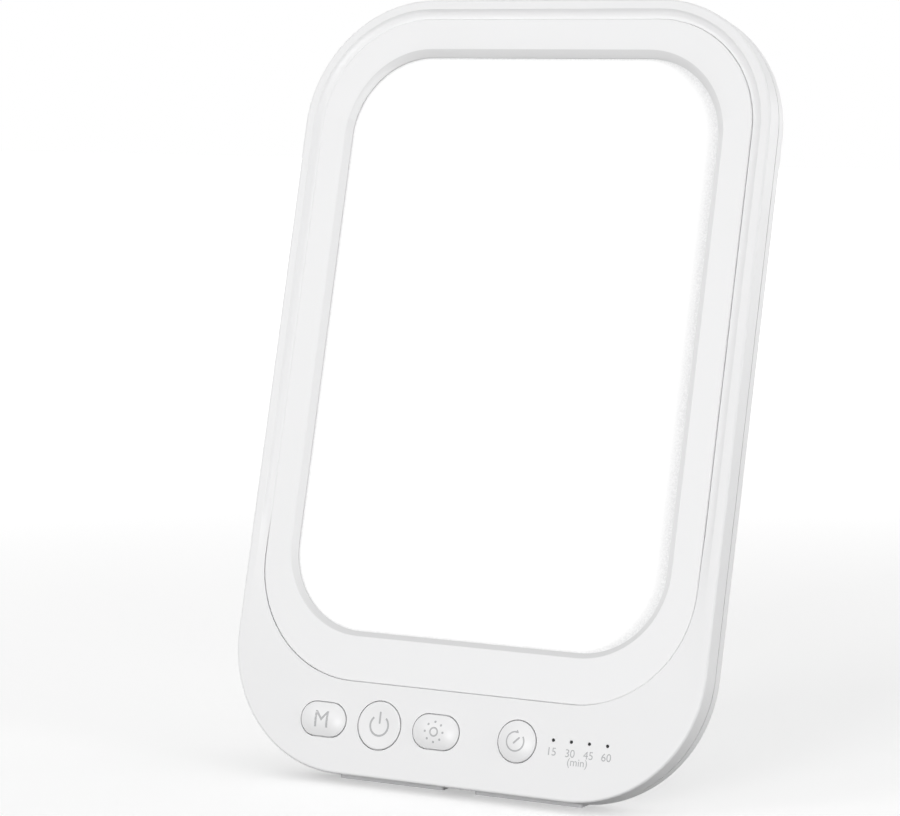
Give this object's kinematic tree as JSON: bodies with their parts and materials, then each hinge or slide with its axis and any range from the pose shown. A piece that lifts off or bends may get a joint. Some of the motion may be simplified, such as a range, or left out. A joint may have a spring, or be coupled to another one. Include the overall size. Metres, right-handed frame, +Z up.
{
  "type": "light therapy lamp",
  "caption": "Free-standing light therapy lamp: a slim rounded panel with an edge-lit white window, a row of push buttons under it and a leg that folds into the back.",
  "frame": {"origin": "middle of the footprint on the table, with the leg open", "axes": "+Z up, the window faces -Y, +X to the right as seen from the front"},
  "size_m": [0.15, 0.0704, 0.2229],
  "materials": {
    "housing": "satin, fine moulded grain",
    "frame": "satin, fine moulded grain",
    "button": "smooth satin",
    "diffuser": "translucent opal sheet, lit",
    "light_guide": "clear acrylic, printed dot pattern on its back",
    "reflector": "white film",
    "aluminium": "rolled sheet",
    "white_board": "white solder mask",
    "led": "phosphor dome, lit",
    "indicator_led": "clear resin",
    "screw_steel": "zinc plated",
    "green_board": "solder mask",
    "chip": "moulded epoxy",
    "header": "moulded",
    "light_pipe": "smoked clear plastic",
    "inlet_steel": "drawn shell, plated",
    "rubber": "matte grey rubber",
    "wire": "insulated wire",
    "plunger": "moulded"
  },
  "bodies": {
    "housing": {"base_pad_left": "rubber", "base_pad_right": "rubber", "board_chips": "chip", "board_screws": "screw_steel", "control_board": "green_board", "diffuser": "diffuser", "front_shell": "housing", "heat_plate": "aluminium", "hinge_pin": "screw_steel", "inlet_board": "green_board", "inlet_screws": "screw_steel", "inlet_tongue": "chip", "inlet_wires": "wire", "led_board_bottom": "white_board", "led_board_top": "white_board", "led_wires_bottom": "wire", "led_wires_top": "wire", "leds_bottom": "led", "leds_top": "led", "light_guide": "light_guide", "light_pipes": "light_pipe", "power_inlet": "inlet_steel", "rear_shell": "housing", "reflector_sheet": "reflector", "shell_screws": "screw_steel", "switch_brightness": "chip", "switch_mode": "chip", "switch_power": "chip", "switch_timer": "chip", "timer_leds": "indicator_led", "window_frame": "frame", "wire_headers": "header"},
    "stand": {"stand_leg": "housing", "stand_pad": "rubber"},
    "button_mode": {"button_mode": "button", "plunger_mode": "plunger"},
    "button_power": {"button_power": "button", "plunger_power": "plunger"},
    "button_brightness": {"button_brightness": "button", "plunger_brightness": "plunger"},
    "button_timer": {"button_timer": "button", "plunger_timer": "plunger"}
  },
  "joints": [
    {"name": "stand_hinge", "type": "hinge", "parent": "housing", "child": "stand", "pos_m": [0, -0.00739, 0.06373], "axis": [1, 0, 0], "range_deg": [0, 135]},
    {"name": "mode_press", "type": "slide", "parent": "housing", "child": "button_mode", "axis": [0, 0.9659, -0.2588], "range_m": [0, 0.0006], "stiffness_N_per_m": 400, "springref_m": -0.0008},
    {"name": "power_press", "type": "slide", "parent": "housing", "child": "button_power", "axis": [0, 0.9659, -0.2588], "range_m": [0, 0.0006], "stiffness_N_per_m": 400, "springref_m": -0.0008},
    {"name": "brightness_press", "type": "slide", "parent": "housing", "child": "button_brightness", "axis": [0, 0.9659, -0.2588], "range_m": [0, 0.0006], "stiffness_N_per_m": 400, "springref_m": -0.0008},
    {"name": "timer_press", "type": "slide", "parent": "housing", "child": "button_timer", "axis": [0, 0.9659, -0.2588], "range_m": [0, 0.0006], "stiffness_N_per_m": 400, "springref_m": -0.0008}
  ]
}
